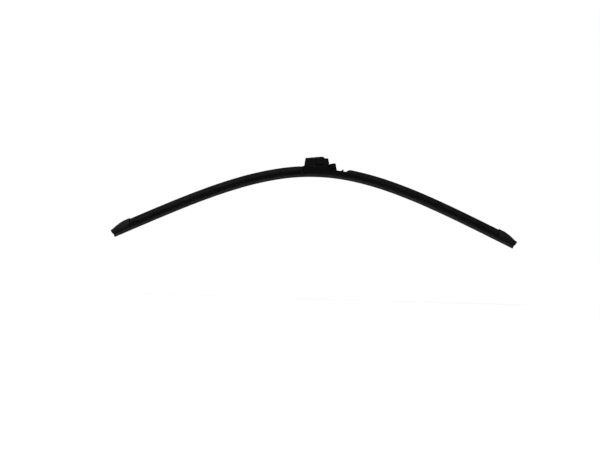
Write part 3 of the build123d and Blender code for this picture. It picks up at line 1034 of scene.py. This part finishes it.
@dataclass(frozen=True)
class Spoiler:
    """Two halves of the hollow wind deflector, with claws round the rails."""

    sweep: BowSweep
    outer_run: float = 279.0
    left_run: float = -20.02
    right_run: float = 41.52
    claw_outer: float = 6.65
    claw_base: float = 6.05
    claw_edge: float = 0.4
    foot_inner: float = 4.2
    foot_top: float = 6.85
    foot_edge: float = 0.25
    rail_room: float = 5.65
    rail_room_top: float = 7.85
    head_room: float = 3.24
    head_room_top: float = 9.29
    head_room_edge: float = 0.3
    flank_base: float = 9.44
    flank_spans: int = 14
    lee_flank_edge: float = 0.9
    ridge_height: float = 15.5
    ridge_lee: float = -4.15
    ridge_lee_edge: float = 0.5
    ridge_wind: float = -2.65
    ridge_wind_edge: float = 0.45
    wind_hollow: float = 1.15
    wall: float = 1.15
    chamber_edge: float = 0.4
    low_deck: float = 11.8
    slant_foot_run: float = 41.6
    slant_reach: float = 5.2
    slant_bulge: float = 0.55
    slant_spans: int = 10
    cut_over: float = 1.0
    cut_back: float = 2.0

    def wind_arc(self) -> tuple[Vector, float]:
        """Find the arc of the hollow flank on the windward side.

        Returns:
            Its centre, across and height, and its radius.
        """
        foot = Vector((self.claw_outer, self.flank_base))
        brow = Vector((self.ridge_wind, self.ridge_height))
        chord = brow - foot
        radius = (chord.length_squared / 4 + self.wind_hollow**2) / (2 * self.wind_hollow)
        outward = Vector((chord.y, -chord.x)).normalized()
        return (foot + brow) / 2 + outward * (radius - self.wind_hollow), radius

    def section(self) -> list[Point]:
        """Draw the strip's outline, from the windward claw over the ridge to the lee claw.

        Returns:
            Points of the outline, across and height.
        """
        centre, radius = self.wind_arc()
        start = math.atan2(self.flank_base - centre.y, self.claw_outer - centre.x)
        end = math.atan2(self.ridge_height - centre.y, self.ridge_wind - centre.x)
        turn = math.remainder(end - start, 2 * math.pi)
        wind_flank = [(self.claw_outer, self.flank_base, 0.0)]
        for k in range(1, self.flank_spans):
            angle = start + turn * k / self.flank_spans
            across = centre.x + radius * math.cos(angle)
            wind_flank.append((across, centre.y + radius * math.sin(angle), 0.0))
        ridge = [
            (self.ridge_wind, self.ridge_height, self.ridge_wind_edge),
            (self.ridge_lee, self.ridge_height, self.ridge_lee_edge),
        ]
        lee_flank = [(-self.claw_outer, self.flank_base, self.lee_flank_edge)]
        claw = [
            (self.foot_inner, self.foot_top, 0.0),
            (self.foot_inner, self.claw_base, self.foot_edge),
            (self.claw_outer, self.claw_base, self.claw_edge),
        ]
        room = [
            (self.head_room, self.head_room_top, self.head_room_edge),
            (self.head_room, self.rail_room_top, 0.0),
            (self.rail_room, self.rail_room_top, 0.0),
            (self.rail_room, self.foot_top, 0.0),
        ]
        return rounded(claw + wind_flank + ridge + lee_flank + mirrored(room + claw) + room)

    def chamber(self) -> list[Point]:
        """Draw the hollow's outline: the two flanks set in by the wall, over a floor.

        Returns:
            Points of the outline, across and height.
        """
        centre, radius = self.wind_arc()
        floor = self.head_room_top + self.wall
        roof = self.ridge_height - self.wall
        reach = radius + self.wall
        edge = self.chamber_edge
        lee = Vector((self.ridge_lee + self.claw_outer, self.ridge_height - self.flank_base))
        inward = Vector((lee.y, -lee.x)).normalized() * self.wall
        foot = Vector((-self.claw_outer, self.flank_base)) + inward
        corners = [
            (foot.x + lee.x * (height - foot.y) / lee.y, height, edge) for height in (roof, floor)
        ]
        for k in range(self.flank_spans + 1):
            height = floor + (roof - floor) * k / self.flank_spans
            across = centre.x - math.sqrt(reach**2 - (centre.y - height) ** 2)
            corners.append((across, height, edge if k == 0 else 0.0))
        return rounded(corners)

    def end_cut(self) -> bpy.types.Object:
        """Make the solid that cuts the right half back, in a curve, above the low deck.

        Returns:
            The solid, as a helper object.
        """
        bow = self.sweep.bow
        slant_top_run = self.slant_foot_run + self.slant_reach
        cut_run = self.slant_foot_run - self.cut_back
        cut_height = self.ridge_height + self.cut_over
        foot = bow.point(self.slant_foot_run, self.low_deck)
        top = bow.point(slant_top_run, self.ridge_height)
        outward = (top - foot).cross(Vector((0, 1, 0))).normalized() * self.slant_bulge * MM
        view = []
        for k in range(self.slant_spans + 1):
            s = k / self.slant_spans
            view.append(foot.lerp(top, s) + outward * 4 * s * (1 - s))
        view += [
            bow.point(slant_top_run, cut_height),
            bow.point(cut_run, cut_height),
            bow.point(cut_run, self.low_deck),
        ]
        shape = bmesh.new()
        half = Vector((0, (self.claw_outer + self.cut_over) * MM, 0))
        face = shape.faces.new([shape.verts.new(point - half) for point in view])
        pulled = bmesh.ops.extrude_face_region(shape, geom=[face])
        moved = [item for item in pulled["geom"] if isinstance(item, bmesh.types.BMVert)]
        bmesh.ops.translate(shape, verts=moved, vec=2 * half)
        bmesh.ops.recalc_face_normals(shape, faces=shape.faces)
        mesh = bpy.data.meshes.new("end_cut")
        shape.to_mesh(mesh)
        shape.free()
        return link("end_cut", mesh)

    def build(self) -> list[bpy.types.Object]:
        """Draw both halves along the bow.

        Returns:
            The two pieces.
        """
        finish = SPOILER_RUBBER.material()
        left = self.sweep.strip(
            "spoiler_left_strip",
            (-self.outer_run, self.left_run),
            self.section(),
            finish,
            bore=self.chamber(),
        )
        right = self.sweep.strip(
            "spoiler_right_strip",
            (self.right_run, self.outer_run),
            self.section(),
            finish,
            bore=self.chamber(),
            end_cut=self.end_cut(),
        )
        return [
            seat(left, "spoiler_left", "blade"),
            seat(right, "spoiler_right", "blade"),
        ]


@dataclass(frozen=True)
class EndCap:
    """Moulded cap over one end of the strips."""

    end: End
    edges: EdgeRounding = MOULDED_EDGES

    def build(self) -> list[bpy.types.Object]:
        """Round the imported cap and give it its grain.

        Returns:
            The cap, as a list of one.
        """
        node = f"end_cap_{self.end.name.lower()}"
        cap = self.edges.copy(node, f"{node}_moulding", CAP_PLASTIC.material())
        return [seat(cap, node, "blade")]


@dataclass(frozen=True)
class Connector:
    """Cover over the middle of the blade, with the steel bridge and the rivet inside it."""

    edges: EdgeRounding = MOULDED_EDGES

    def build(self) -> list[bpy.types.Object]:
        """Round the cover, and dress the bridge and the rivet.

        Returns:
            The three pieces.
        """
        cover = self.edges.copy(
            "connector_cover", "connector_cover_moulding", COVER_PLASTIC.material()
        )
        return [
            seat(cover, "connector_cover", "blade"),
            dress("rail_bridge", BRIDGE_STEEL.material()),
            dress("pivot_rivet", RIVET_STEEL.material()),
        ]


@dataclass(frozen=True)
class ArmAdapter:
    """Adapter that the arm slides over, with its lock button and leaf spring."""

    edges: EdgeRounding = MOULDED_EDGES
    leaf_edges: EdgeRounding = LEAF_EDGES
    leaf_foot: float = -11.0
    leaf_pressed: float = 0.7

    def build(self) -> list[bpy.types.Object]:
        """Round the adapter, its button and its leaf spring.

        Returns:
            The three pieces.
        """
        block = self.edges.copy("adapter_body", "adapter_moulding", ADAPTER_PLASTIC.material())
        button = self.edges.copy("lock_button", "lock_button_moulding", BUTTON_PLASTIC.material())
        leaf = self.leaf_edges.copy("lock_spring", "leaf_spring_strip", LEAF_STEEL.material())
        pieces = [
            seat(block, "adapter_body", "adapter"),
            seat(button, "lock_button", "button"),
            seat(leaf, "lock_spring", "adapter"),
        ]
        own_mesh(leaf)
        return pieces


@dataclass(frozen=True)
class Lamp:
    """Soft rectangular lamp, with its place and size in metres and its power in watts."""

    name: str
    place: tuple[float, float, float]
    size: Span
    power: float

    def hang(self, aim: Vector) -> None:
        """Hang the lamp so that it faces a point.

        Args:
            aim: The point, in metres.
        """
        data = bpy.data.lights.new(self.name, "AREA")
        data.shape = "RECTANGLE"
        data.size, data.size_y = self.size
        data.energy = self.power
        made = link(self.name, data)
        made.location = self.place
        made.rotation_euler = (aim - Vector(self.place)).to_track_quat("-Z", "Y").to_euler()
        made.visible_camera = False


@dataclass(frozen=True)
class Studio:
    """White floor and surround, soft lamps, dark flags beside and below the blade, and a camera."""

    floor_height: float = -0.2
    floor_size: float = 14.0
    floor_colour: str = "#e4e4e4"
    floor_lift: float = 0.62
    floor_near_lift: float = 0.2
    floor_fade: Span = (0.5, 2.5)
    flag_distance: float = 0.8
    flag_top: float = 2.2
    flag_lift: float = 0.002
    flag_colour: str = "#0a0a0a"
    lamps: tuple[Lamp, ...] = (
        Lamp("key_lamp", (-0.4, 0.45, 2.5), (2.6, 1.2), 44.0),
        Lamp("side_lamp", (-2.4, -1.2, 0.5), (1.2, 1.6), 24.0),
        Lamp("fill_lamp", (2.4, -0.8, 0.9), (1.6, 1.6), 8.0),
    )
    ambient: float = 0.5
    camera_distance: float = 4.0
    camera_range: float = 100.0
    view_width: float = 0.855
    sensor: float = 36.0
    aim: tuple[float, float, float] = (-0.0202, 0.0, -0.0953)
    tilt: float = 1.68

    @staticmethod
    def seen(tree: bpy.types.NodeTree) -> bpy.types.NodeSocket:
        """Tell the rays that show a background from those that light the blade.

        Args:
            tree: Shader tree of the floor or the surround.

        Returns:
            One where a camera, glossy or transmission ray arrives, and nought elsewhere.
        """
        path = add(tree, "ShaderNodeLightPath")
        direct = add(
            tree,
            "ShaderNodeMath",
            {0: path.outputs["Is Camera Ray"], 1: path.outputs["Is Glossy Ray"]},
            operation="MAXIMUM",
        )
        either = add(
            tree,
            "ShaderNodeMath",
            {0: direct.outputs[0], 1: path.outputs["Is Transmission Ray"]},
            operation="MAXIMUM",
        )
        return either.outputs[0]

    @staticmethod
    def panel(name: str, size: Span, place: Matrix, finish: bpy.types.Material) -> bpy.types.Object:
        """Make a flat staged panel.

        Args:
            name: Name of the panel.
            size: Width and height in metres.
            place: Where its middle goes, and how it is turned.
            finish: Its material.

        Returns:
            The panel.
        """
        shape = bmesh.new()
        bmesh.ops.create_grid(shape, x_segments=1, y_segments=1, size=0.5)
        bmesh.ops.scale(shape, vec=(size[0], size[1], 1.0), verts=shape.verts)
        bmesh.ops.transform(shape, matrix=place, verts=shape.verts)
        mesh = bpy.data.meshes.new(name)
        shape.to_mesh(mesh)
        shape.free()
        mesh.materials.append(finish)
        made = link(name, mesh)
        return made

    def floor(self) -> None:
        """Lay the pale floor, which keeps the blade's shadow."""
        finish = new_material("pale_floor")
        tree = finish.node_tree
        coords = add(tree, "ShaderNodeTexCoord")
        distance = add(
            tree, "ShaderNodeVectorMath", {0: coords.outputs["Object"]}, operation="LENGTH"
        )
        # The lamps reach only the floor near the blade, so the rest is lifted to the same white
        fade = add(
            tree,
            "ShaderNodeMapRange",
            {
                "Value": distance.outputs["Value"],
                "From Min": self.floor_fade[0],
                "From Max": self.floor_fade[1],
                "To Min": self.floor_near_lift,
                "To Max": self.floor_lift,
            },
        )
        lift = add(
            tree,
            "ShaderNodeMath",
            {0: self.seen(tree), 1: fade.outputs["Result"]},
            operation="MULTIPLY",
        )
        paint = add(tree, "ShaderNodeBsdfDiffuse", {"Color": linear(self.floor_colour)})
        glow = add(tree, "ShaderNodeEmission", {"Strength": lift.outputs[0]})
        both = add(
            tree, "ShaderNodeAddShader", {0: paint.outputs["BSDF"], 1: glow.outputs["Emission"]}
        )
        # The floor is open from below, so that the underside can be looked at
        side = add(tree, "ShaderNodeNewGeometry")
        clear = add(tree, "ShaderNodeBsdfTransparent")
        sided = add(
            tree,
            "ShaderNodeMixShader",
            {0: side.outputs["Backfacing"], 1: both.outputs[0], 2: clear.outputs["BSDF"]},
        )
        add(tree, "ShaderNodeOutputMaterial", {"Surface": sided.outputs[0]})
        place = Matrix.Translation((0, 0, self.floor_height))
        self.panel("floor", (self.floor_size, self.floor_size), place, finish)

    def flags(self) -> None:
        """Stand a dark flag on each side and lay one below, for the blade's reflections alone."""
        finish = new_material("black_flag_cloth")
        tree = finish.node_tree
        cloth = add(tree, "ShaderNodeBsdfDiffuse", {"Color": linear(self.flag_colour)})
        add(tree, "ShaderNodeOutputMaterial", {"Surface": cloth.outputs["BSDF"]})
        height = self.flag_top - self.floor_height
        upright = Matrix.Rotation(math.pi / 2, 4, "X")
        lying = Matrix.Translation((0, 0, self.floor_height + self.flag_lift))
        flags = {"flag_floor": (2 * self.flag_distance, lying)}
        for side in Side:
            middle = (0, side.value * self.flag_distance, self.floor_height + height / 2)
            flags[f"flag_{side.name.lower()}"] = (height, Matrix.Translation(middle) @ upright)
        for name, (breadth, place) in flags.items():
            flag = self.panel(name, (self.floor_size, breadth), place, finish)
            flag.visible_camera = False
            flag.visible_diffuse = False
            flag.visible_shadow = False

    def light(self) -> None:
        """Set the lamps and the white surround."""
        for lamp in self.lamps:
            lamp.hang(Vector(self.aim))
        world = bpy.data.worlds.new("white_surround")
        world.use_nodes = True
        tree = world.node_tree
        tree.nodes.clear()
        level = add(
            tree,
            "ShaderNodeMapRange",
            {"Value": self.seen(tree), "To Min": self.ambient, "To Max": 1.0},
        )
        sky = add(
            tree,
            "ShaderNodeBackground",
            {"Color": (1.0, 1.0, 1.0, 1.0), "Strength": level.outputs["Result"]},
        )
        add(tree, "ShaderNodeOutputWorld", {"Surface": sky.outputs["Background"]})
        bpy.context.scene.world = world
        bpy.context.scene.view_settings.view_transform = "Standard"

    def camera(self) -> None:
        """Set the camera square to the blade's side, turned a little as in the photograph."""
        data = bpy.data.cameras.new("photo_camera")
        data.sensor_width = self.sensor
        data.lens = self.sensor * self.camera_distance / self.view_width
        data.clip_end = self.camera_range
        made = link("photo_camera", data)
        place = Vector(self.aim) - Vector((0, self.camera_distance, 0))
        level = Matrix.Rotation(math.pi / 2, 4, "X")
        turn = Matrix.Rotation(-math.radians(self.tilt), 4, "Y")
        made.matrix_world = Matrix.Translation(place) @ turn @ level
        bpy.context.scene.camera = made

    def build(self) -> None:
        """Set up the whole studio."""
        self.floor()
        self.flags()
        self.light()
        self.camera()


def main() -> None:
    """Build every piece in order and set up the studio."""
    logging.basicConfig(level=logging.INFO, format="%(name)s: %(message)s")
    sweep = BowSweep(Bow())
    assemblies = (
        WipingStrip(sweep),
        Spoiler(sweep),
        EndCap(End.LEFT),
        EndCap(End.RIGHT),
        Connector(),
        ArmAdapter(),
    )
    for assembly in assemblies:
        for piece in assembly.build():
            log.info("%s: %d faces", piece.name, len(piece.data.polygons))
    Studio().build()
    bpy.context.view_layer.update()


if __name__ == "__main__":
    main()
